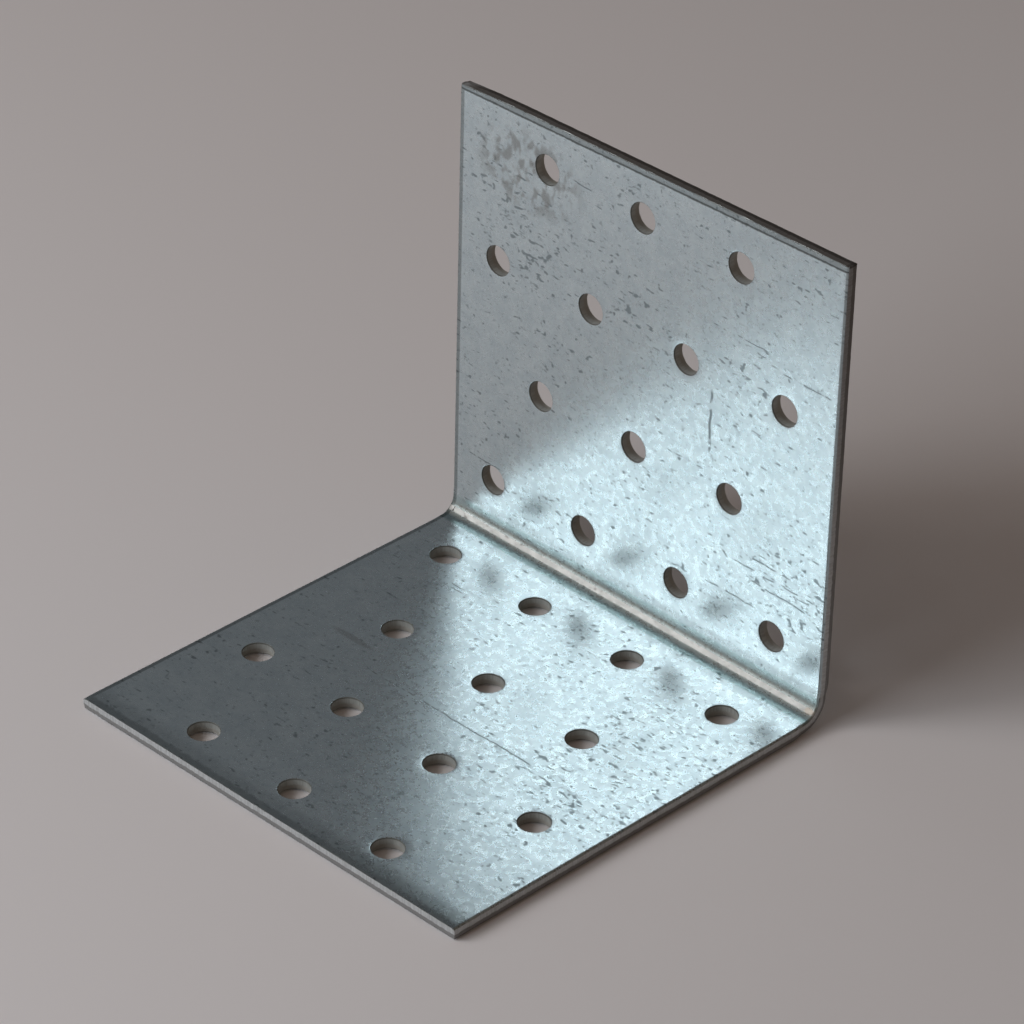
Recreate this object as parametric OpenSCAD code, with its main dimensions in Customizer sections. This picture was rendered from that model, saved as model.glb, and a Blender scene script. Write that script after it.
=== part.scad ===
// Corner brace bracket: one steel sheet folded into two leaves, each with four staggered rows of holes.
// X runs along the bend, the base leaf reaches out towards -Y and the upright leaf rises towards +Z.
// The origin is the middle of the underside of the bracket's bounding box. All sizes are in millimetres.

/* [Sheet] */
// Width of the bracket, along its bend
width = 79.4; // [70:0.1:120]
// Length of the base leaf at its middle, from the back face to the free edge
base_len = 79.1; // [78:0.1:120]
// Height of the upright leaf at its middle, from the underside to the free edge
upright_len = 79.7; // [78:0.1:120]
// Thickness of the sheet
sheet_t = 2; // [1.5:0.1:3]
// Angle of both free edges, out of square with the bend, where the blank was cut slightly askew
cut_slant = 0.8; // [0:0.1:2]

/* [Bend] */
// Radius inside the bend
bend_r = 3; // [2:0.1:4]
// Width of the flat strip that the nose of the folding punch coins along the bend
coin_w = 1; // [0.6:0.1:1.4]
// Depth of the coined strip below the curve inside the bend
coin_depth = 0.12; // [0.05:0.01:0.25]
// Distance from each side edge to the end of the coined strip
coin_margin = 1.2; // [0.5:0.1:5]

/* [Holes] */
// Diameter of the fastener holes
hole_d = 5; // [3:0.1:8]
// Distance between neighbouring holes of a row, and between neighbouring rows
hole_pitch = 20; // [15:0.1:20]
// Number of rows on each leaf
hole_rows = 4; // [1:1:4]
// Number of holes in the row next to the bend; every other row has one hole less
row_holes = 4; // [2:1:4]
// Distance from the back face to the first row of holes on the base leaf
base_first_row = 12.2; // [10:0.1:14]
// Distance from the underside to the first row of holes on the upright leaf
upright_first_row = 11.5; // [10:0.1:14]
// Distance that the holes lie off the middle of the width, towards -X
hole_offset = 0.7; // [0:0.1:1.5]

/* [Punched and sheared edges] */
// Radius of the rolled-over rim where the punch entered a hole
hole_roll = 0.2; // [0.1:0.05:0.4]
// Depth from the inner face down to which punch and shear cut the metal clean, before it tore
land_depth = 1.1; // [0.7:0.1:1.3]
// Growth of a hole's radius through the torn part of its wall, down to the outer face
hole_breakout = 0.12; // [0.05:0.01:0.3]
// Distance that a sheared edge falls back through its torn part, down to the outer face
edge_breakout = 0.1; // [0.04:0.01:0.2]
// Radius of the rolled-over inner edges along the sides of the sheet
edge_roll = 0.5; // [0.2:0.05:0.6]
// Length of sheet that the shear pulled down along each free edge
droop_len = 1.5; // [0.8:0.1:2.5]
// Depth to which it pulled the inner face down at the free edge
droop_depth = 0.15; // [0.05:0.05:0.5]

/* [Hidden] */
$fn = 96;
hole_r = hole_d / 2;
// Place of the bend's axis, from the back face and from the underside, where both leaves start
bend_start = sheet_t + bend_r;
// How far a corner of the free edge stands out past the edge's middle
slant_reach = width / 2 * tan(cut_slant);
base_reach = base_len + slant_reach;
// Radius of the drooping inner face along a free edge, level with the sheet where the droop starts
droop_r = (pow(droop_len, 2) + pow(droop_depth, 2)) / (2 * droop_depth);
// Height of the torn part of a cut wall, above the outer face
torn_h = sheet_t - land_depth;
// Sheet left past the free edges until they are sheared off, and overlap of a cutter past the face it cuts
spare = 2;
past = 1;
// Rise of a rounding cutter's crown over the face, so that the two cross instead of just touching
crown = 0.002;

// Cross-section of the flat sheet: X across the width, Y from the outer face up to the inner face
module sheet_section() {
    difference() {
        translate([-width / 2, 0]) square([width, sheet_t]);
        for (side = [0, 1])
            mirror([side, 0]) translate([width / 2, 0]) {
                rolled_corner();
                torn_corner();
            }
    }
}

// The next three are what an edge lacks of a square one. The square edge is a wall at X = 0 with its metal
// towards -X, the outer face at Y = 0 and the inner face at Y = sheet_t.

// The rolled-over inner corner of a side edge
module rolled_corner() {
    translate([-edge_roll, sheet_t - edge_roll])
        difference() {
            square(edge_roll + past);
            circle(edge_roll);
        }
}

// The drooping inner face of a free edge
module drooped_corner() {
    translate([-droop_len, sheet_t])
        difference() {
            translate([0, -droop_depth]) square([droop_len + past, droop_depth + past]);
            translate([0, crown - droop_r]) circle(droop_r);
        }
}

// The torn part of a wall, which slopes back under its clean part. The slope is carried on past the outer face.
module torn_corner() {
    end_x = edge_breakout * (1 + past / torn_h);
    polygon([[0, torn_h], [past, torn_h], [past, -past], [-end_x, -past]]);
}

// The sheet after folding, with the back face in the plane Y = 0 and the underside in the plane Z = 0
module folded_strip() {
    translate([0, -bend_start, 0])
        rotate([90, 0, 0])
            linear_extrude(base_reach + spare - bend_start) sheet_section();
    translate([0, 0, bend_start])
        linear_extrude(upright_len + slant_reach + spare - bend_start) rotate(180) sheet_section();
    translate([0, -bend_start, bend_start])
        rotate([-90, 0, 0])
            rotate([90, 0, 90])
                rotate_extrude(angle = 90) translate([bend_start, 0]) rotate(90) sheet_section();
}

// Flat groove pressed along the middle of the bend by the nose of the folding punch
module coined_strip() {
    strip_len = width - 2 * coin_margin;
    translate([0, -bend_start, bend_start])
        rotate([-45, 0, 0])
            translate([-strip_len / 2, bend_r - past, -coin_w / 2])
                cube([strip_len, past + coin_depth, coin_w]);
}

// Shears off a leaf's free edge, with the droop and the torn part that shearing leaves.
// The edge runs along X through the origin, +Y points past it, and the outer face lies at Z = 0.
module shear() {
    rotate([90, 0, 90])
        translate([0, 0, -width])
            linear_extrude(2 * width) {
                translate([0, -past]) square([2 * spare + 2 * slant_reach, sheet_t + 2 * past]);
                drooped_corner();
                torn_corner();
            }
}

// Space of one punched hole. Its axis is Z and the inner face lies at Z = 0, with the sheet below.
module punched_hole() {
    // The torn wall's slope is carried on past the outer face
    end_r = hole_r + hole_breakout * (1 + past / torn_h);
    rotate_extrude() {
        translate([0, -land_depth]) square([hole_r, land_depth + past]);
        polygon([[0, -land_depth], [hole_r, -land_depth], [end_r, -sheet_t - past], [0, -sheet_t - past]]);
        difference() {
            translate([0, -hole_roll]) square([hole_r + hole_roll, hole_roll + past]);
            translate([hole_r + hole_roll, -hole_roll]) circle(hole_roll);
        }
    }
}

// Puts its child at each hole of a leaf. Rows run along X and follow each other along +Y from first_row.
module hole_places(first_row) {
    for (row = [0 : hole_rows - 1]) {
        holes = row_holes - row % 2;
        for (i = [0 : holes - 1])
            translate([(i - (holes - 1) / 2) * hole_pitch - hole_offset, first_row + row * hole_pitch, 0])
                children();
    }
}

module bracket() {
    color("silver")
        translate([0, base_reach / 2, 0])
            difference() {
                folded_strip();
                coined_strip();
                // The base leaf, seen from its underside with the leaf's length along +Y, is turned half round Z
                rotate([0, 0, 180]) {
                    translate([0, base_len, 0]) rotate([0, 0, cut_slant]) shear();
                    translate([0, 0, sheet_t]) mirror([1, 0, 0]) hole_places(base_first_row) punched_hole();
                }
                // The upright leaf, with its length along +Z and its inner face towards -Y
                rotate([90, 0, 0]) {
                    translate([0, upright_len, 0]) rotate([0, 0, cut_slant]) shear();
                    translate([0, 0, sheet_t]) hole_places(upright_first_row) punched_hole();
                }
            }
}

bracket();
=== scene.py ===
import math
import random

import bmesh
import bpy
from mathutils import Matrix, Vector, noise


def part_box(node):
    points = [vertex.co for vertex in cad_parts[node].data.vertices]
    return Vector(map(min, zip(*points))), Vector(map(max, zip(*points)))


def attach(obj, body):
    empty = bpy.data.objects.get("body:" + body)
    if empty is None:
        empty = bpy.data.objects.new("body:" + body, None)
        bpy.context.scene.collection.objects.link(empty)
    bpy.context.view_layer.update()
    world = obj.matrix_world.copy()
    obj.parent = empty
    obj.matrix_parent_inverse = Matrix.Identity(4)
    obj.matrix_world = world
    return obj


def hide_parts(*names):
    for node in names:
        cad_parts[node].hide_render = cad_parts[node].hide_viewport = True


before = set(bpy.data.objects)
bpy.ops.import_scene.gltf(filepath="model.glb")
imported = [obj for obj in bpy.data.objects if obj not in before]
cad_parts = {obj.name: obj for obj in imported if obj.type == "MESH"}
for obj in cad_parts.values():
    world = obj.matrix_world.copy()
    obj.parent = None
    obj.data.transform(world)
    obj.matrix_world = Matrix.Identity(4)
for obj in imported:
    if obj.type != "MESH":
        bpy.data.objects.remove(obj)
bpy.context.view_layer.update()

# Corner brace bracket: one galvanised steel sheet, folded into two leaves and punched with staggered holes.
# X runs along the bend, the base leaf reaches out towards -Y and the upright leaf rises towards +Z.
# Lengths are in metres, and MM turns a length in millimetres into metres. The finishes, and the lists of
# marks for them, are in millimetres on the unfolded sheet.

MM = 0.001
low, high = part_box("bracket")

# The sheet, as folded. Its overall sizes come from the frame.
WIDTH = high.x - low.x
BACK_Y = high.y
CUT_SLANT = math.radians(0.8)
SLANT_REACH = WIDTH / 2 * math.tan(CUT_SLANT)
BASE_LEN = high.y - low.y - SLANT_REACH
UPRIGHT_LEN = high.z - SLANT_REACH
SHEET_T = 2 * MM

# The bend
BEND_R = 3 * MM
BEND_START = SHEET_T + BEND_R
BEND_STEPS = 24
BEND_Y = BACK_Y - BEND_START
BEND_Z = BEND_START
# Length of the bend at the middle of the sheet's thickness
BEND_ARC = math.pi / 2 * (BEND_R + SHEET_T / 2)
# How far the outside of the bend pulls in at the side edges while it is stretched, and how far along the
# leaves that goes on
BEND_PULL = 0.3 * MM
BEND_PULL_REACH = 3 * MM
# The bend starts gently: the sheet swells towards the inside by this much where its arc begins
EASE_HEIGHT = 0.1 * MM
EASE_REACH = 1.8 * MM
# The strip that the nose of the folding punch pressed flat, and how much of that nose its cutter has
COIN_W = 0.84 * MM
COIN_DEPTH = 0.12 * MM
COIN_MARGIN = 1.2 * MM
PUNCH_NOSE = 2 * MM

# The holes of each leaf: rows counted from the bend
HOLE_R = 2.5 * MM
HOLE_PITCH = 20 * MM
HOLE_ROWS = 4
ROW_HOLES = 4
BASE_FIRST_ROW = 12.2 * MM
UPRIGHT_FIRST_ROW = 11.5 * MM
HOLE_OFFSET = 0.7 * MM
HOLE_ROLL = 0.17 * MM
HOLE_BREAKOUT = 0.12 * MM
HOLE_SIDES = 72
# The shallow dish that the punch pressed round each hole
DISH_DEPTH = 0.03 * MM
DISH_R = 4.2 * MM
# How much the roll and the dish differ from hole to hole, as a share of their size
ROLL_RANGE = (0.85, 1.15)
DISH_RANGE = (0.6, 1.4)
# A hole's cutter starts this far above the inner face, and where it meets that face it is this much wider
# than the dish
CUTTER_TOP = 0.3 * MM
CUTTER_CROWN = 0.004 * MM
CUTTER_FLARE = 0.25 * MM
DISH_STEPS = 4
HOLE_ROLL_STEPS = 6
# How far the torn wall of a hole and the border above it are uneven
HOLE_TEAR = 0.04 * MM
HOLE_BORDER = 0.12 * MM

# The sheared edges: how deep the cut is clean, and how the corners roll, droop and tear
LAND_DEPTH = 1.1 * MM
EDGE_ROLL = 0.5 * MM
EDGE_ROLL_STEPS = 6
EDGE_BREAKOUT = 0.1 * MM
FREE_EDGE_TEAR = 0.05 * MM
SIDE_EDGE_TEAR = 0.035 * MM
DROOP_LEN = 1.5 * MM
DROOP_DEPTH = 0.12 * MM
# The upright's free edge falls off towards its left corner
CORNER_FALL = 0.4 * MM
CORNER_FALL_LEN = 14 * MM
# The free edges' corner, which the shear rounded over a little after it pulled the sheet down
CORNER_ROLL = 0.05 * MM
# What is this near to a free edge moves with it
WEAR_REACH = 5 * MM

# Loops next to the free edges and past the ends of the bend, in millimetres from them
EDGE_LOOPS = (0.02, 0.05, 0.09, 0.14, 0.25, 0.4, 0.6, 0.85, 1.15, 1.5, 2.2, 3.2, 4.6)
EASE_LOOPS = (0.35, 0.7, 1.05, 1.4, 1.8, 2.2, 2.6, 3, 4)
LOOPED_LEN = 4.7 * MM
SIDE_TORN_ROWS = 3
FREE_EDGE_TORN_ROWS = 4
# Mesh edges that are longer than this are split into steps
LONG_EDGE = 10 * MM
EDGE_STEP = 0.4 * MM

# Sheet left past the free edges until they are sheared off
SPARE = 2 * MM
SEED = 7
# Points this close are at one place
TOUCH = 1e-6
MERGE = 1e-7

# Faces this near to an edge of the sheet belong to the edge
EDGE_ZONE = 1 * MM
# A face this steep, and this far below the inner face, is the wall of a cut and has no zinc on it
WALL_SLOPE = 0.55
WALL_START = 0.06 * MM
# The rolled-over rim of a hole takes the wall's finish, with the painted shade of its lip, where it is
# steeper than this
RIM_SLOPE = 0.87
# Sharp edges are those that turn further than this
SMOOTH_ANGLE = math.radians(32)

# The camera: its azimuth from -Y towards +X, its elevation and its roll, in degrees, then the place it looks
# at and how far it is from there, in millimetres
CAMERA_ANGLES = (44.515, 32.796, 1.477)
CAMERA_AIM = (5.52, 5.51, 36.82)
CAMERA_DISTANCE = 731.5
CAMERA_LENS = 174.51
CAMERA_SENSOR = 36

# The room: its colour all round and that of its cooler wall, and where that wall is
ROOM_WARM = (0.14, 0.104, 0.082, 1)
ROOM_COOL = (0.134, 0.13, 0.132, 1)
COOL_SIDE = (-0.59, 0.6, 0.54)
COOL_START = 0.45
COOL_FULL = 0.9
# The window: its azimuth from +X and its elevation, in degrees, how far it is from the object, and the
# colours of its light on the floor and in the zinc
WINDOW_AT = (-115, 36)
WINDOW_DISTANCE = 0.85
FLOOR_DAYLIGHT = (0.95, 1, 1.06)
ZINC_DAYLIGHT = (1.08, 1, 0.97)
# The sheet rests on its burrs, this far above the floor
BURRS = 0.25 * MM
FLOOR_SIZE = 6
FLOOR_COLOR = (0.8, 0.78, 0.78, 1)

# Colours of the zinc and of the marks on it. The edge band colour and the two bend tints are painted shade.
ZINC_GREY = (0.6, 0.72, 0.775)
ZINC_PALE = (0.7, 0.82, 0.865)
SPOT_COLOR = (0.22, 0.28, 0.31)
SCUFF_COLOR = (0.32, 0.345, 0.345)
EDGE_SHADE_COLOR = (0.06, 0.07, 0.065)
BEND_SHADE_TINT = (0.94, 0.98, 0.96)
BEND_DEEP_SHADE_TINT = (0.62, 0.66, 0.67)
COINED_COLOR = (0.85, 0.88, 0.88)
STAIN_COLOR = (0.5, 0.4, 0.27)
# Colours of the bare steel: cut clean and torn, at the edges and in the holes, and what darkens it. The lip
# colour is painted shade.
EDGE_LAND, EDGE_TORN = (0.52, 0.55, 0.56), (0.23, 0.235, 0.235)
HOLE_LAND, HOLE_TORN = (0.42, 0.44, 0.42), (0.39, 0.39, 0.36)
STRIPE_SHADE = 0.75
RUST_TINT = (0.27, 0.24, 0.22)
SIDE_DARK_COLOR = (0.09, 0.075, 0.065)
LIP_SHADE_COLOR = (0.05, 0.06, 0.055)


# ---------------------------------------------------------------- small helpers for the operators

def deselect_all():
    """Leaves nothing selected, so that an operator acts only on what is picked next."""
    if bpy.context.mode != "OBJECT":
        bpy.ops.object.mode_set(mode="OBJECT")
    bpy.ops.object.select_all(action="DESELECT")


def pick_piece(piece):
    """Selects one piece and nothing else."""
    deselect_all()
    bpy.context.view_layer.objects.active = piece
    piece.select_set(True)


def start_edit(piece):
    """Goes into edit mode on one piece, with all of its mesh selected."""
    pick_piece(piece)
    bpy.ops.object.mode_set(mode="EDIT")
    bpy.ops.mesh.select_all(action="SELECT")


def pick(kind, test):
    """Selects, in edit mode, the vertices, edges or faces for which test is true, and nothing else."""
    bpy.ops.mesh.select_mode(type=kind)
    bpy.ops.mesh.select_all(action="DESELECT")
    mesh = bmesh.from_edit_mesh(bpy.context.edit_object.data)
    found = {"VERT": mesh.verts, "EDGE": mesh.edges, "FACE": mesh.faces}[kind]
    for element in found:
        if test(element):
            element.select_set(True)
    mesh.select_flush_mode()
    bmesh.update_edit_mesh(bpy.context.edit_object.data)


def cut_across(point, normal, **settings):
    """Bisects the whole mesh in edit mode with a plane."""
    bpy.ops.mesh.select_all(action="SELECT")
    bpy.ops.mesh.bisect(plane_co=point, plane_no=normal, **settings)


def extrude(step):
    bpy.ops.mesh.extrude_region_move(TRANSFORM_OT_translate={"value": step})


def resize(x, y, z):
    """Scales what is selected about the origin."""
    bpy.ops.transform.resize(value=(x, y, z), center_override=(0, 0, 0))


# ---------------------------------------------------------------- where a point lies on the sheet

def blank_place(point):
    """The point's place on the unfolded blank: across it, along it from the base side of the bend, and its
    depth below the inner face."""
    y, z = point.y - BEND_Y, point.z - BEND_Z
    if y <= 0:
        return Vector((point.x, y, SHEET_T - point.z))
    if z >= 0:
        return Vector((point.x, BEND_ARC + z, y - BEND_R))
    turn = math.atan2(y, -z)
    return Vector((point.x, BEND_ARC * turn / (math.pi / 2), math.hypot(y, z) - BEND_R))


def inward(point):
    """The direction from the sheet towards its inside, square to it."""
    y, z = point.y - BEND_Y, point.z - BEND_Z
    if y <= 0:
        return Vector((0, 0, 1))
    if z >= 0:
        return Vector((0, -1, 0))
    return Vector((0, -y, -z)).normalized()


def uneven(place, size, seed):
    """Smooth noise from -1 to 1 with features of about that size."""
    return noise.noise(place / size + Vector((seed * 17.3, seed * 5.1, seed * 3.7)))


class Leaf:
    """One leaf of the sheet: which way it reaches from the bend, which way its inner face looks, and how its
    free edge lies."""

    def __init__(self, reach, inner, length, first_row, slant_sign):
        self.reach = Vector(reach)
        self.inner = Vector(inner)
        # The outer corner of the bend, from which both leaves are measured
        self.corner = Vector((0, BACK_Y, 0))
        self.first_row = first_row
        # The free edge runs square to this direction
        slant = Vector((slant_sign * math.tan(CUT_SLANT), 0, 0))
        self.shear_normal = (self.reach + slant).normalized()
        self.edge_middle = self.corner + self.reach * length

    def past_bend(self, point):
        return (point - self.corner).dot(self.reach) > BEND_START - MERGE

    def from_edge(self, point):
        """Distance from the free edge, inside the leaf."""
        return -(point - self.edge_middle).dot(self.shear_normal)

    def near_free_edge(self, point):
        return self.past_bend(point) and self.from_edge(point) < EDGE_ZONE

    def depth(self, point):
        """Depth below the inner face."""
        return SHEET_T - (point - self.corner).dot(self.inner)

    def hole_places(self):
        for row in range(HOLE_ROWS):
            holes = ROW_HOLES - row % 2
            for i in range(holes):
                x = (i - (holes - 1) / 2) * HOLE_PITCH - HOLE_OFFSET
                along = self.first_row + row * HOLE_PITCH
                yield self.corner + Vector((x, 0, 0)) + self.reach * along + self.inner * SHEET_T


BASE = Leaf((0, -1, 0), (0, 0, 1), BASE_LEN, BASE_FIRST_ROW, 1)
UPRIGHT = Leaf((0, 0, 1), (0, -1, 0), UPRIGHT_LEN, UPRIGHT_FIRST_ROW, -1)
LEAVES = (BASE, UPRIGHT)


# ---------------------------------------------------------------- the folded sheet

def torn_depth(row, rows):
    """Depth of a row of the torn part of a wall. Row 0 is its border with the clean part."""
    return LAND_DEPTH + (SHEET_T - LAND_DEPTH) * row / rows


def sheet_section():
    """The cut end of the strip, lying flat over the top of the upright: a plane whose inner corners are
    rolled over and whose sides fall back where the metal tore."""
    deselect_all()
    bpy.ops.mesh.primitive_plane_add(size=1, location=(0, 0, 0))
    piece = bpy.context.object
    piece.name = "folded_sheet"
    piece.data.name = "folded_sheet"
    start_edit(piece)
    resize(WIDTH, SHEET_T, 1)
    over_top = UPRIGHT_LEN + SLANT_REACH + SPARE
    bpy.ops.transform.translate(value=(0, BACK_Y - SHEET_T / 2, over_top))
    inner_y = BACK_Y - SHEET_T
    pick("VERT", lambda v: v.co.y < inner_y + TOUCH)
    bpy.ops.mesh.bevel(offset=EDGE_ROLL, segments=EDGE_ROLL_STEPS, profile=0.5, affect="VERTICES")
    for row in range(SIDE_TORN_ROWS):
        cut_across((0, inner_y + torn_depth(row, SIDE_TORN_ROWS), 0), (0, 1, 0))
    for row in range(1, SIDE_TORN_ROWS + 1):
        depth = torn_depth(row, SIDE_TORN_ROWS)
        pick("VERT", lambda v: abs(v.co.y - inner_y - depth) < TOUCH)
        resize(1 - 2 * EDGE_BREAKOUT * row / SIDE_TORN_ROWS / WIDTH, 1, 1)
    return piece


def fold_strip(piece):
    """Draws the section down the upright, round the bend and out along the base."""
    start_edit(piece)
    extrude((0, 0, BEND_START - (UPRIGHT_LEN + SLANT_REACH + SPARE)))
    bpy.ops.mesh.spin(steps=BEND_STEPS, angle=math.pi / 2, center=(0, BEND_Y, BEND_Z), axis=(1, 0, 0))
    extrude((0, -(BASE_LEN + SLANT_REACH + SPARE - BEND_START), 0))
    bpy.ops.mesh.select_all(action="SELECT")
    bpy.ops.mesh.remove_doubles(threshold=MERGE)
    bpy.ops.mesh.normals_make_consistent(inside=False)


def shear_free_edges(piece):
    """Cuts both leaves to length, with loops close to each free edge for its droop, loops past the bend for
    its gentle start, and rows in the torn part of the cut."""
    start_edit(piece)
    for leaf in LEAVES:
        cut_across(leaf.edge_middle, leaf.shear_normal, use_fill=True, clear_outer=True)
        for inside in EDGE_LOOPS:
            cut_across(leaf.edge_middle - leaf.shear_normal * inside * MM, leaf.shear_normal)
        for past in EASE_LOOPS:
            cut_across(leaf.corner + leaf.reach * (BEND_START + past * MM), leaf.reach)
        for row in range(FREE_EDGE_TORN_ROWS):
            height = SHEET_T - torn_depth(row, FREE_EDGE_TORN_ROWS)
            pick("FACE", lambda f: f.normal.dot(leaf.shear_normal) > 0.9)
            bpy.ops.mesh.bisect(plane_co=leaf.corner + leaf.inner * height, plane_no=leaf.inner)


def split_long_edges(piece):
    """Splits the long edges along the sides and the free edges into short steps, so that they can be
    uneven."""
    start_edit(piece)

    def along_side(edge):
        a, b = (v.co for v in edge.verts)
        at_side = abs(a.x) > WIDTH / 2 - EDGE_ROLL - TOUCH and abs(a.x - b.x) < TOUCH
        return at_side and (a - b).length > LONG_EDGE

    def along_free_edge(edge):
        a, b = (v.co for v in edge.verts)
        if abs(a.x - b.x) < LONG_EDGE:
            return False
        return any(leaf.past_bend(a) and leaf.from_edge(a) < LOOPED_LEN and
                   (leaf.depth(a) < TOUCH or leaf.from_edge(a) < TOUCH) for leaf in LEAVES)

    pick("EDGE", along_side)
    bpy.ops.mesh.subdivide(number_cuts=int(BASE_LEN / EDGE_STEP))
    pick("EDGE", along_free_edge)
    bpy.ops.mesh.subdivide(number_cuts=int(WIDTH / EDGE_STEP))


def wear_free_edge(leaf, point, place):
    """Pulls the inner face down and rounds its corner at a leaf's free edge, and lets the torn part of the
    cut fall back. The upright's left corner hangs lower than the rest."""
    inside = leaf.from_edge(point)
    if not leaf.past_bend(point) or inside > WEAR_REACH:
        return
    depth = leaf.depth(point)
    if depth < LAND_DEPTH - TOUCH:
        share = 1 - min(inside / DROOP_LEN, 1)
        droop = DROOP_DEPTH * share ** 2 * (1 + 0.3 * uneven(place, 2 * MM, 1))
        corner = 1 - min(inside / CORNER_ROLL, 1)
        rounded = CORNER_ROLL * (1 - math.sqrt(max(0, 1 - corner ** 2)))
        droop += rounded * (1 + 1.3 * uneven(place, 1.1 * MM, 2))
        point -= leaf.inner * droop * (1 - depth / LAND_DEPTH)
    elif inside < TOUCH:
        torn = (depth - LAND_DEPTH) / (SHEET_T - LAND_DEPTH)
        rough = FREE_EDGE_TEAR * (1 + uneven(place, 0.8 * MM, 3)) * math.sin(math.pi * min(torn, 0.7))
        point -= leaf.shear_normal * (EDGE_BREAKOUT * torn + rough)
    if leaf is UPRIGHT:
        from_corner = min((point.x + WIDTH / 2) / CORNER_FALL_LEN, 1)
        point.z -= CORNER_FALL * (1 - from_corner) ** 2 * (1 - inside / WEAR_REACH)


def wear_side(point, place):
    """Makes the torn part of a side edge uneven, and pulls the outside of the bend in at its ends."""
    if abs(place.x) <= WIDTH / 2 - EDGE_ROLL - TOUCH:
        return
    side = place.x / abs(place.x)
    if place.z > LAND_DEPTH + TOUCH:
        point.x -= side * SIDE_EDGE_TEAR * (1 + uneven(place, 0.8 * MM, 4))
    beyond = max(0, abs(place.y - BEND_ARC / 2) - BEND_ARC / 2)
    pull = BEND_PULL * max(0, place.z / SHEET_T) * max(0, 1 - beyond / BEND_PULL_REACH) ** 2
    point.x -= side * pull


def wear_sheet(piece):
    """Moves every point of the sheet as shearing and folding did."""
    start_edit(piece)
    mesh = bmesh.from_edit_mesh(piece.data)
    for v in mesh.verts:
        place = blank_place(v.co)
        for leaf in LEAVES:
            wear_free_edge(leaf, v.co, place)
        from_start = min(abs(place.y), abs(place.y - BEND_ARC))
        if from_start < EASE_REACH:
            swell = EASE_HEIGHT * math.cos(math.pi / 2 * from_start / EASE_REACH) ** 2
            v.co += inward(v.co) * swell
        wear_side(v.co, place)
    bmesh.update_edit_mesh(piece.data)


# ---------------------------------------------------------------- what is cut out of it

def hole_rings(roll, dish):
    """Height and radius of the rings of a hole's cutter, downwards from above the inner face."""
    rim_r = HOLE_R + roll
    rings = [(CUTTER_TOP, DISH_R + CUTTER_TOP), (CUTTER_CROWN, DISH_R + CUTTER_FLARE)]
    for step in range(1, DISH_STEPS + 1):
        share = step / DISH_STEPS
        rings.append((-dish * share ** 2, DISH_R + (rim_r - DISH_R) * share))
    for step in range(1, HOLE_ROLL_STEPS + 1):
        turn = math.radians(90 / HOLE_ROLL_STEPS * step)
        rings.append((-dish - roll * (1 - math.cos(turn)), rim_r - roll * math.sin(turn)))
    for share in (0.5, 1):
        start = dish + roll
        rings.append((-start - (LAND_DEPTH - start) * share, HOLE_R))
    for share in (0.2, 0.6, 1, 1.4):
        rings.append((-LAND_DEPTH - (SHEET_T - LAND_DEPTH) * share, HOLE_R + HOLE_BREAKOUT * share))
    return rings


def hole_cutter(leaf, place, seed):
    """The space of one punched hole, made downwards from above the inner face: the dish, the rolled-over
    rim, the clean land and the torn, widening rest."""
    draw = random.Random(seed)
    roll = HOLE_ROLL * draw.uniform(*ROLL_RANGE)
    dish = DISH_DEPTH * draw.uniform(*DISH_RANGE)
    rings = hole_rings(roll, dish)
    deselect_all()
    bpy.ops.mesh.primitive_circle_add(vertices=HOLE_SIDES, radius=rings[0][1], fill_type="NGON",
                                      location=(0, 0, 0))
    cutter = bpy.context.object
    start_edit(cutter)
    bpy.ops.transform.translate(value=(0, 0, rings[0][0]))
    for (above, wide), (height, radius) in zip(rings, rings[1:]):
        extrude((0, 0, height - above))
        resize(radius / wide, radius / wide, 1)
    bpy.ops.mesh.select_all(action="SELECT")
    bpy.ops.mesh.normals_make_consistent(inside=False)
    mesh = bmesh.from_edit_mesh(cutter.data)
    for v in mesh.verts:
        around = Vector((v.co.x, v.co.y, 0))
        if v.co.z < -LAND_DEPTH - (SHEET_T - LAND_DEPTH) * 0.1:
            v.co += around.normalized() * HOLE_TEAR * (1 + uneven(v.co, 0.5 * MM, seed))
        elif v.co.z < -LAND_DEPTH + TOUCH:
            v.co.z += HOLE_BORDER * uneven(around, 0.9 * MM, seed)
    bmesh.update_edit_mesh(cutter.data)
    bpy.ops.object.mode_set(mode="OBJECT")
    turned = Matrix((leaf.reach.cross(leaf.inner), leaf.reach, leaf.inner)).transposed()
    cutter.data.transform(Matrix.Translation(place) @ turned.to_4x4())
    return cutter


def coin_cutter():
    """The nose of the folding punch: a bar that presses a flat strip into the middle of the bend."""
    deselect_all()
    bpy.ops.mesh.primitive_cube_add(size=1, location=(0, 0, 0))
    cutter = bpy.context.object
    start_edit(cutter)
    resize(WIDTH - 2 * COIN_MARGIN, COIN_W, COIN_DEPTH + PUNCH_NOSE)
    bpy.ops.object.mode_set(mode="OBJECT")
    out = Vector((0, math.sqrt(0.5), -math.sqrt(0.5)))
    middle = Vector((0, BEND_Y, BEND_Z)) + out * (BEND_R + COIN_DEPTH / 2 - PUNCH_NOSE / 2)
    cutter.data.transform(Matrix.Translation(middle) @ Matrix.Rotation(math.radians(45), 4, "X"))
    return cutter


def cut_away(piece, cutters):
    """Cuts the joined cutters out of the piece."""
    deselect_all()
    for cutter in cutters:
        cutter.select_set(True)
    bpy.context.view_layer.objects.active = cutters[0]
    if len(cutters) > 1:
        bpy.ops.object.join()
    joined = bpy.context.object
    pick_piece(piece)
    cut = piece.modifiers.new("cut", "BOOLEAN")
    cut.operation = "DIFFERENCE"
    cut.solver = "EXACT"
    cut.object = joined
    bpy.ops.object.modifier_apply(modifier="cut")
    bpy.data.objects.remove(joined)


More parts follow.
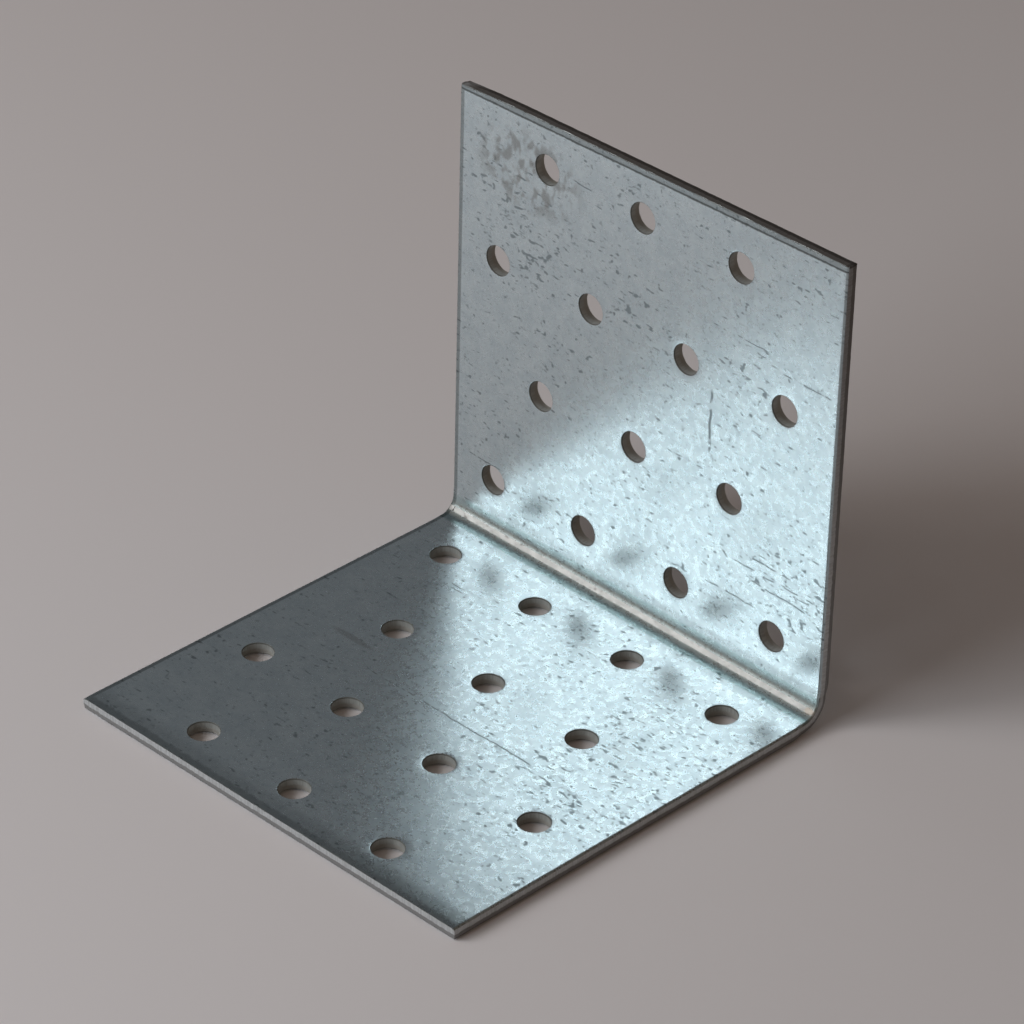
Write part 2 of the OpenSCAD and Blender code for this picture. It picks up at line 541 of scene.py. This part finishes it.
def smooth_sheet(piece):
    """Smooth shading that leaves the flats flat and the cut edges sharp."""
    pick_piece(piece)
    bpy.ops.object.shade_smooth_by_angle(angle=SMOOTH_ANGLE)
    weigh = piece.modifiers.new("weigh", "WEIGHTED_NORMAL")
    weigh.mode = "FACE_AREA"
    weigh.weight = 80
    weigh.keep_sharp = True
    bpy.ops.object.modifier_apply(modifier="weigh")


def mark_surfaces(piece):
    """Writes each point's place on the blank, in millimetres, as an attribute, and gives each face its
    finish: 0 is the galvanised face, 1 a sheared edge and 2 the wall of a hole."""
    mesh = piece.data
    mesh.materials.clear()
    mesh.materials.append(galvanised_face())
    mesh.materials.append(sheared_edge())
    mesh.materials.append(punched_wall())
    places = [blank_place(v.co) for v in mesh.vertices]
    attribute = mesh.attributes.new("blank_place", "FLOAT_VECTOR", "POINT")
    attribute.data.foreach_set("vector", [c / MM for place in places for c in place])
    for face in mesh.polygons:
        depth = sum(places[i].z for i in face.vertices) / len(face.vertices)
        slope = abs(face.normal.dot(inward(face.center)))
        at_side = abs(face.center.x) > WIDTH / 2 - EDGE_ZONE
        if at_side or any(leaf.near_free_edge(face.center) for leaf in LEAVES):
            face.material_index = 1 if slope < WALL_SLOPE and depth > WALL_START else 0
        else:
            face.material_index = 2 if slope < RIM_SLOPE and depth > WALL_START / 2 else 0


def make_sheet():
    piece = sheet_section()
    fold_strip(piece)
    shear_free_edges(piece)
    split_long_edges(piece)
    wear_sheet(piece)
    cut_away(piece, [coin_cutter()])
    cutters = []
    for leaf in LEAVES:
        for place in leaf.hole_places():
            cutters.append(hole_cutter(leaf, place, SEED + len(cutters)))
    cut_away(piece, cutters)
    smooth_sheet(piece)
    mark_surfaces(piece)
    return piece


# ---------------------------------------------------------------- camera, light and floor

def make_camera():
    """Looks down on the inside corner from the front right."""
    azimuth, elevation, roll = (math.radians(angle) for angle in CAMERA_ANGLES)
    back = Vector((math.sin(azimuth) * math.cos(elevation), -math.cos(azimuth) * math.cos(elevation),
                   math.sin(elevation)))
    right = Vector((0, 0, 1)).cross(back).normalized()
    up = back.cross(right)
    tilted = Matrix.Rotation(roll, 3, back)
    turned = Matrix((tilted @ right, tilted @ up, back)).transposed()
    camera = bpy.data.objects.new("camera", bpy.data.cameras.new("camera"))
    bpy.context.scene.collection.objects.link(camera)
    aim = Vector(CAMERA_AIM) * MM
    camera.matrix_world = Matrix.Translation(aim + back * CAMERA_DISTANCE * MM) @ turned.to_4x4()
    camera.data.lens = CAMERA_LENS
    camera.data.sensor_width = CAMERA_SENSOR
    camera.data.clip_start = 0.01
    camera.data.clip_end = 20
    bpy.context.scene.camera = camera


def add_soft_light(name, distance, shift, size, radiance, color=(1, 1, 1), mirrored=True):
    """A rectangular lamp on the window's side that faces the object. The shift moves it sideways and up in
    its own plane. Radiance is that of its face. A lamp that isn't mirrored lights the floor and the matt
    surfaces, but nothing shiny shows it."""
    azimuth, elevation = (math.radians(angle) for angle in WINDOW_AT)
    away = Vector((math.cos(azimuth) * math.cos(elevation), math.sin(azimuth) * math.cos(elevation),
                   math.sin(elevation)))
    turned = away.to_track_quat("Z", "Y")
    lamp = bpy.data.lights.new(name, "AREA")
    lamp.shape = "RECTANGLE"
    lamp.size, lamp.size_y = size
    lamp.energy = radiance * math.pi * size[0] * size[1]
    lamp.color = color
    light = bpy.data.objects.new(name, lamp)
    light.location = away * distance + turned @ Vector((shift[0], shift[1], 0))
    light.rotation_mode = "QUATERNION"
    light.rotation_quaternion = turned
    light.visible_glossy = mirrored
    bpy.context.scene.collection.objects.link(light)


def light_room():
    """A dim warm room with a cooler wall at the back left, and a low window at the front left. One lamp
    gives the window's light on the floor. The others are what the zinc mirrors: three parts of the window,
    from low to high, and the wall round it."""
    world = bpy.data.worlds.new("room")
    bpy.context.scene.world = world
    world.use_nodes = True
    nodes, links = world.node_tree.nodes, world.node_tree.links
    direction = nodes.new("ShaderNodeTexCoord")
    toward = nodes.new("ShaderNodeVectorMath")
    toward.operation = "DOT_PRODUCT"
    links.new(direction.outputs["Generated"], toward.inputs[0])
    toward.inputs[1].default_value = COOL_SIDE
    share = nodes.new("ShaderNodeMapRange")
    share.interpolation_type = "SMOOTHSTEP"
    links.new(toward.outputs["Value"], share.inputs["Value"])
    share.inputs["From Min"].default_value = COOL_START
    share.inputs["From Max"].default_value = COOL_FULL
    room = nodes.new("ShaderNodeMix")
    room.data_type = "RGBA"
    links.new(share.outputs[0], room.inputs["Factor"])
    warm, cool = [i for i in room.inputs if i.type == "RGBA"]
    warm.default_value = ROOM_WARM
    cool.default_value = ROOM_COOL
    links.new(next(o for o in room.outputs if o.type == "RGBA"), nodes["Background"].inputs["Color"])
    near = WINDOW_DISTANCE
    behind = WINDOW_DISTANCE + 0.05
    add_soft_light("window", near, (0.075, -0.15), (0.65, 0.44), 4.3, FLOOR_DAYLIGHT, mirrored=False)
    add_soft_light("window_side_low", near, (-0.18, -0.085), (0.36, 0.11), 4.6, ZINC_DAYLIGHT)
    add_soft_light("window_side", near, (-0.18, 0.008), (0.36, 0.075), 1.8, ZINC_DAYLIGHT)
    add_soft_light("window_side_high", near, (-0.18, 0.11), (0.36, 0.13), 4.1, ZINC_DAYLIGHT)
    add_soft_light("window_wall", behind, (-0.18, 0), (0.6, 1.0), 0.1)


def lay_floor():
    """A wide sheet of pale paper."""
    deselect_all()
    bpy.ops.mesh.primitive_plane_add(size=FLOOR_SIZE, location=(0, 0, -BURRS))
    floor = bpy.context.object
    floor.name = "floor"
    material = bpy.data.materials.new("pale_paper")
    material.use_nodes = True
    shader = material.node_tree.nodes["Principled BSDF"]
    shader.inputs["Base Color"].default_value = FLOOR_COLOR
    shader.inputs["Roughness"].default_value = 0.8
    floor.data.materials.append(material)


# ---------------------------------------------------------------- the nodes of a finish

class Finish:
    """A material while its nodes are added and joined. Lengths in it are in millimetres on the unfolded
    blank."""

    def __init__(self, name):
        self.material = bpy.data.materials.new(name)
        self.material.use_nodes = True
        self.nodes = self.material.node_tree.nodes
        self.shader = self.nodes["Principled BSDF"]
        place = self.nodes.new("ShaderNodeAttribute")
        place.attribute_name = "blank_place"
        self.place = place.outputs["Vector"]
        split = self.nodes.new("ShaderNodeSeparateXYZ")
        self.put(split.inputs[0], self.place)
        self.across, self.along, self.depth = split.outputs

    def put(self, socket, value):
        """Joins what comes out of a node, or sets a plain number or colour."""
        if isinstance(value, bpy.types.NodeSocket):
            self.material.node_tree.links.new(value, socket)
        else:
            socket.default_value = value

    def math(self, operation, *values):
        node = self.nodes.new("ShaderNodeMath")
        node.operation = operation
        for socket, value in zip(node.inputs, values):
            self.put(socket, value)
        return node.outputs[0]

    def times(self, a, b):
        return self.math("MULTIPLY", a, b)

    def times_plus(self, a, factor, added):
        return self.math("MULTIPLY_ADD", a, factor, added)

    def larger(self, a, b):
        return self.math("MAXIMUM", a, b)

    def gap(self, a, b):
        """How far apart two numbers are."""
        return self.math("ABSOLUTE", self.math("SUBTRACT", a, b))

    def moved(self, vector, operation, by):
        node = self.nodes.new("ShaderNodeVectorMath")
        node.operation = operation
        self.put(node.inputs[0], vector)
        self.put(node.inputs[1], by)
        return node.outputs[0]

    def along_line(self, vector, direction):
        """How far the vector goes in a direction on the blank."""
        node = self.nodes.new("ShaderNodeVectorMath")
        node.operation = "DOT_PRODUCT"
        self.put(node.inputs[0], vector)
        self.put(node.inputs[1], (*direction, 0))
        return node.outputs["Value"]

    def noise(self, vector, size, detail, roughness):
        node = self.nodes.new("ShaderNodeTexNoise")
        self.put(node.inputs["Vector"], vector)
        node.inputs["Scale"].default_value = 1 / size
        node.inputs["Detail"].default_value = detail
        node.inputs["Roughness"].default_value = roughness
        return node.outputs["Fac"]

    def fade(self, value, start, end, low=0.0, high=1.0):
        """Goes smoothly from low to high while the value goes from start to end."""
        node = self.nodes.new("ShaderNodeMapRange")
        node.interpolation_type = "SMOOTHSTEP"
        for socket, number in zip(node.inputs, (value, start, end, low, high)):
            self.put(socket, number)
        return node.outputs[0]

    def blend(self, share, a, b, mode="MIX"):
        """Mixes two colours."""
        node = self.nodes.new("ShaderNodeMix")
        node.data_type = "RGBA"
        node.blend_type = mode
        self.put(node.inputs["Factor"], share)
        for socket, value in zip([i for i in node.inputs if i.type == "RGBA"], (a, b)):
            self.put(socket, value if isinstance(value, bpy.types.NodeSocket) else (*value, 1))
        return next(o for o in node.outputs if o.type == "RGBA")

    def bump(self, height, distance):
        node = self.nodes.new("ShaderNodeBump")
        node.inputs["Strength"].default_value = 1
        node.inputs["Distance"].default_value = distance * MM
        self.put(node.inputs["Height"], height)
        return node.outputs[0]

    def inner_face(self):
        """1 on the inner face of the sheet and 0 on its outer face."""
        return self.fade(self.depth, 0.3, 0.6, 1, 0)

    def patch(self, middle, half_size):
        """1 in the middle of an oval patch, fading to 0 at its border."""
        beside = self.moved(self.place, "SUBTRACT", (*middle, 0))
        beside = self.moved(beside, "DIVIDE", (*half_size, 1000))
        node = self.nodes.new("ShaderNodeVectorMath")
        node.operation = "LENGTH"
        self.put(node.inputs[0], beside)
        return self.fade(node.outputs["Value"], 0.55, 1, 1, 0)

    def scratch(self, start, end, width, wander):
        """1 on a thin line from start to end and 0 elsewhere. It leaves the straight line by wander."""
        start, end = Vector(start), Vector(end)
        run = end - start
        direction = run.normalized()
        beside = self.moved(self.place, "SUBTRACT", (*((start + end) / 2), 0))
        off = self.math("ADD", self.along_line(beside, (-direction.y, direction.x)), wander)
        line = self.fade(self.math("ABSOLUTE", off), width * 0.4, width * 1.1, 1, 0)
        passed = self.math("ABSOLUTE", self.along_line(beside, direction))
        return self.times(line, self.fade(passed, run.length / 2 - 1, run.length / 2, 1, 0))

    def blots(self, size, stretch, amount, softness, seed):
        """Irregular small blots where smooth noise is high: 1 inside and 0 outside. The amount goes from 0,
        for none, to 1, for half of the surface."""
        moved = self.moved(self.place, "MULTIPLY", (*stretch, 1))
        moved = self.moved(moved, "ADD", (seed * 31.7, seed * 11.3, seed * 5.9))
        level = self.noise(moved, size, 1, 0.5)
        start = self.times_plus(amount, -0.32, 0.82)
        return self.fade(level, start, self.math("ADD", start, softness))


# ---------------------------------------------------------------- the marks on the zinc

# Places are in millimetres: across the sheet, and along it from the start of the bend. They are negative on
# the base and end at the free edge of the upright.
HALF_WIDTH = WIDTH / 2 / MM
BEND_MIDDLE = BEND_ARC / MM / 2
# Places next to the slanting free edges are counted in this direction
EDGE_ALONG = (-math.tan(CUT_SLANT), 1)


def on_base(across, from_back):
    return (across, BEND_START / MM - from_back)


def on_upright(across, height):
    return (across, (BEND_ARC - BEND_START) / MM + height)


BASE_EDGE = on_base(0, BASE_LEN / MM)[1]
UPRIGHT_EDGE = on_upright(0, UPRIGHT_LEN / MM)[1]
# Start, end and width of the scratches that stand out
SCRATCHES = (
    (on_upright(-31.7, 68.3), on_upright(-21.5, 67.6), 0.22),
    (on_upright(-15.5, 72.2), on_upright(-10, 71.6), 0.15),
    (on_upright(-13, 69.8), on_upright(-8, 69.4), 0.15),
    (on_upright(14, 60.2), on_upright(26, 60), 0.12),
    (on_upright(24, 57.8), on_upright(39, 57.4), 0.14),
    (on_upright(14.8, 49), on_upright(14.8, 37.5), 0.3),
    (on_upright(6, 34.5), on_upright(14, 34.3), 0.14),
    (on_upright(15, 23.6), on_upright(30, 23.4), 0.16),
    (on_upright(20, 21.5), on_upright(39, 21.2), 0.13),
    (on_upright(24, 19.4), on_upright(38, 19), 0.16),
    (on_upright(15, 15.2), on_upright(26, 15), 0.13),
    (on_upright(-38, 14.3), on_upright(-27, 14.1), 0.12),
    (on_base(-17, 42.9), on_base(0, 42.9), 0.17),
    (on_base(-27, 17.2), on_base(-19.5, 17.1), 0.13),
    (on_base(-26, 18.1), on_base(-19.5, 18), 0.13),
)
# The one long scratch that doesn't break off on its way
GROOVE = (on_base(-0.6, 42.9), on_base(19.3, 42.5), 0.15)
# Middle and half size of the places where the zinc is more spotted
SPOTTED = (
    (on_upright(0, 54), (44, 5)),
    (on_upright(28, 20), (18, 12)),
    (on_upright(-27, 66), (16, 14)),
    (on_base(29, 36), (15, 28)),
    (on_upright(0, 75.7), (44, 1.2)),
)
# Middle and half size of the scuffed place, of a smear and of the stain at the end of the coined strip
SCUFFED = (on_upright(-24.5, 69.5), (13, 8))
SMEARED = (on_base(-23.5, 39), (5.5, 0.8))
STAINED = ((HALF_WIDTH - 1.2, BEND_MIDDLE), (1.1, 1))


def dark_spots(finish, inner_face):
    """Small dark spots in two shapes, which crowd together in places, and many faint ones."""
    broad = finish.noise(finish.place, 16, 2, 0.5)
    amount = finish.fade(broad, 0.4, 0.62, 0.38, 0.54)
    for middle, half_size in SPOTTED:
        more = finish.times(finish.patch(middle, half_size), inner_face)
        amount = finish.times_plus(more, 0.12, amount)
    round_ones = finish.blots(1.1, (0.9, 1.1), amount, 0.11, 1)
    long_ones = finish.blots(1.0, (0.55, 1.5), amount, 0.11, 2)
    strong = finish.times(finish.larger(round_ones, long_ones), 0.75)
    faint = finish.times(finish.blots(0.7, (0.8, 1.1), 0.6, 0.16, 3), 0.42)
    return finish.larger(strong, faint)


def scratched(finish, inner_face):
    """Thin scratches that waver and break off here and there, and the groove, which doesn't break."""
    wander = finish.times_plus(finish.noise(finish.place, 3, 2, 0.5), 0.7, -0.35)
    elsewhere = finish.moved(finish.place, "ADD", (40, 0, 0))
    broken = finish.fade(finish.noise(elsewhere, 2, 2, 0.6), 0.42, 0.54)
    scratches = 0
    for start, end, width in SCRATCHES:
        scratches = finish.larger(finish.scratch(start, end, width, wander), scratches)
    scratches = finish.times(finish.times(scratches, broken), inner_face)
    groove = finish.times(finish.scratch(*GROOVE, wander), inner_face)
    return finish.larger(scratches, groove)


def scuffs(finish, inner_face):
    """The scuffed place and the smear, where the zinc is rubbed grey."""
    rubbed = finish.times(finish.patch(*SCUFFED), finish.blots(1.9, (1.3, 0.85), 1.25, 0.2, 5))
    smear = finish.times(finish.patch(*SMEARED), 0.6)
    return finish.times(finish.times(finish.larger(rubbed, smear), inner_face), 0.7)


def painted_edge_shade(finish, inner_face, fine_clouds):
    """Painted shade: dark bands along the edges of the inner face, of which the rolled-over right side is
    one.
    """
    counted = finish.along_line(finish.place, EDGE_ALONG)
    # Painted shade: a dark band along the base's drooped free edge, and a lighter one over what lies behind
    # it, more towards the right
    from_edge = finish.math("SUBTRACT", counted, BASE_EDGE)
    from_edge = finish.math("ADD", from_edge, finish.times_plus(fine_clouds, 1.2, -0.6))
    droop_shade = finish.fade(from_edge, 0.9, 2, 0.5, 0)
    behind = finish.times(finish.fade(from_edge, 2, 5, 1, 0), finish.fade(finish.across, 0, 32, 0.22, 0.5))
    base_band = finish.times(finish.larger(droop_shade, behind), inner_face)
    # Painted shade on a strip along the upright's free edge too, with a darker line under it
    from_top = finish.times_plus(fine_clouds, 0.3, finish.math("SUBTRACT", UPRIGHT_EDGE, counted))
    line = finish.fade(finish.gap(from_top, 1.05), 0.08, 0.3, 0.85, 0)
    top_band = finish.larger(finish.fade(from_top, 0.85, 1, 0.5, 0), line)
    # Painted shade along the left edge
    left_band = finish.fade(finish.across, 0.9 - HALF_WIDTH, 1.15 - HALF_WIDTH, 0.5, 0)
    top_left_shade = finish.times(finish.larger(top_band, left_band), inner_face)
    # Painted shade on the rolled-over right side
    right_band = finish.fade(finish.across, HALF_WIDTH - 0.42, HALF_WIDTH - 0.3, 0, 0.4)
    return finish.larger(finish.larger(base_band, right_band), top_left_shade)


def coined_strip(finish, inner_face):
    """1 on the flat strip in the middle of the bend and 0 elsewhere."""
    half = math.asin(COIN_W / 2 / BEND_R) / (math.pi / 2) * BEND_ARC / MM
    strip = finish.fade(finish.gap(finish.along, BEND_MIDDLE), half - 0.06, half + 0.02, 1, 0)
    return finish.times(strip, inner_face)


def painted_bend_shade(finish, color, inner_face):
    """Painted shade on the bend: a slight tint over all of it, and a darker one on both sides of the coined
    strip, most of all near the base.
    """
    from_strip = finish.gap(finish.along, BEND_MIDDLE)
    bent = finish.times(finish.fade(from_strip, 2.9, 3.5, 1, 0), inner_face)
    color = finish.blend(bent, color, BEND_SHADE_TINT, "MULTIPLY")
    bent = finish.times(bent, finish.fade(from_strip, 1.2, 1.9))
    bent = finish.times(bent, finish.fade(finish.along, 3, 3.3, 1, 0.3))
    return finish.blend(bent, color, BEND_DEEP_SHADE_TINT, "MULTIPLY")


# ---------------------------------------------------------------- the three finishes

def galvanised_face():
    """Zinc in soft clouds of two greys, with its spots, scratches and scuffs, and painted shade in bands
    along its edges and in the bend.
    """
    finish = Finish("galvanised_face")
    inner_face = finish.inner_face()
    fine_clouds = finish.noise(finish.place, 1.1, 3, 0.6)
    clouds = finish.fade(finish.noise(finish.place, 4, 3, 0.6), 0.36, 0.64)
    clouds = finish.math("ADD", finish.times(clouds, 0.5), finish.fade(fine_clouds, 0.3, 0.7, 0, 0.5))
    color = finish.blend(clouds, ZINC_GREY, ZINC_PALE)

    scratches = scratched(finish, inner_face)
    marks = finish.larger(dark_spots(finish, inner_face), finish.times(scratches, 0.8))
    color = finish.blend(marks, color, SPOT_COLOR)
    color = finish.blend(scuffs(finish, inner_face), color, SCUFF_COLOR)
    # Painted shade along the edges of the inner face, then in the bend
    color = finish.blend(painted_edge_shade(finish, inner_face, fine_clouds), color, EDGE_SHADE_COLOR)
    color = painted_bend_shade(finish, color, inner_face)
    strip = coined_strip(finish, inner_face)
    color = finish.blend(finish.times(strip, 0.6), color, COINED_COLOR)
    stain = finish.times(finish.patch(*STAINED), inner_face)
    color = finish.blend(finish.times(stain, 0.4), color, STAIN_COLOR)
    finish.put(finish.shader.inputs["Base Color"], color)
    finish.shader.inputs["Metallic"].default_value = 1

    roughness = finish.fade(finish.noise(finish.place, 1.3, 3, 0.6), 0.35, 0.65, 0.25, 0.32)
    roughness = finish.times_plus(marks, 0.2, roughness)
    roughness = finish.times_plus(strip, 0.25, roughness)
    finish.put(finish.shader.inputs["Roughness"], roughness)
    grain = finish.noise(finish.place, 0.8, 3, 0.6)
    finish.put(finish.shader.inputs["Normal"], finish.bump(finish.times_plus(scratches, -1.2, grain), 0.012))
    return finish.material


def cut_wall(finish, land_color, torn_color, lip_shade, top_darkening=0):
    """A wall of bare steel: smooth and striped where it was cut, rough and dark where it tore. The painted
    shade of the rolled-over lip, and the darkening, cover their shares of it."""
    stripes = finish.noise(finish.moved(finish.place, "MULTIPLY", (1, 1, 0.06)), 0.25, 2, 0.6)
    wander = finish.noise(finish.place, 0.7, 2, 0.6)
    level = finish.times_plus(finish.math("SUBTRACT", wander, 0.5), 0.5, finish.depth)
    torn = finish.fade(level, LAND_DEPTH / MM - 0.06, LAND_DEPTH / MM + 0.06)
    shaded = [c * STRIPE_SHADE for c in land_color]
    land = finish.blend(finish.fade(stripes, 0.3, 0.7), shaded, land_color)
    color = finish.blend(torn, land, torn_color)
    # Darker towards the upright's top on the side edges
    color = finish.blend(top_darkening, color, SIDE_DARK_COLOR)
    # Painted shade on the rolled-over lip
    color = finish.blend(lip_shade, color, LIP_SHADE_COLOR)
    # The upright's free edge has rusted to a dark brown
    past_top = finish.math("SUBTRACT", finish.along_line(finish.place, EDGE_ALONG), UPRIGHT_EDGE)
    rusted = finish.fade(past_top, -0.45, -0.25)
    finish.put(finish.shader.inputs["Base Color"], finish.blend(rusted, color, RUST_TINT, "MULTIPLY"))
    finish.shader.inputs["Metallic"].default_value = 0.3
    finish.put(finish.shader.inputs["Roughness"], finish.times_plus(torn, 0.2, 0.45))
    crumbs = finish.times(finish.noise(finish.place, 0.25, 3, 0.6), torn)
    height = finish.times_plus(stripes, 0.25, crumbs)
    finish.put(finish.shader.inputs["Normal"], finish.bump(height, 0.06))
    return finish.material


def rolled_lip_shade(finish):
    """Painted shade on the rolled-over corner under the inner face: how much of it shows."""
    return finish.fade(finish.depth, 0.14, 0.34, 0.75, 0)


def sheared_edge():
    """The edges of the sheet. Only the side edges have the painted shade of the lip, and the upright's get
    darker towards its top."""
    finish = Finish("sheared_edge")
    at_side = finish.fade(finish.math("ABSOLUTE", finish.across), HALF_WIDTH - 0.6, HALF_WIDTH - 0.5)
    lip_shade = finish.times(rolled_lip_shade(finish), at_side)
    # The side edges darken towards the upright's top
    top_darkening = finish.times(finish.fade(finish.along, 15, 75, 0, 0.6), at_side)
    return cut_wall(finish, EDGE_LAND, EDGE_TORN, lip_shade, top_darkening)


def punched_wall():
    """The walls of the holes."""
    finish = Finish("punched_wall")
    return cut_wall(finish, HOLE_LAND, HOLE_TORN, rolled_lip_shade(finish))


bpy.context.scene.view_settings.view_transform = "Standard"
make_camera()
light_room()
lay_floor()
sheet = make_sheet()
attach(sheet, "root")
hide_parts("bracket")
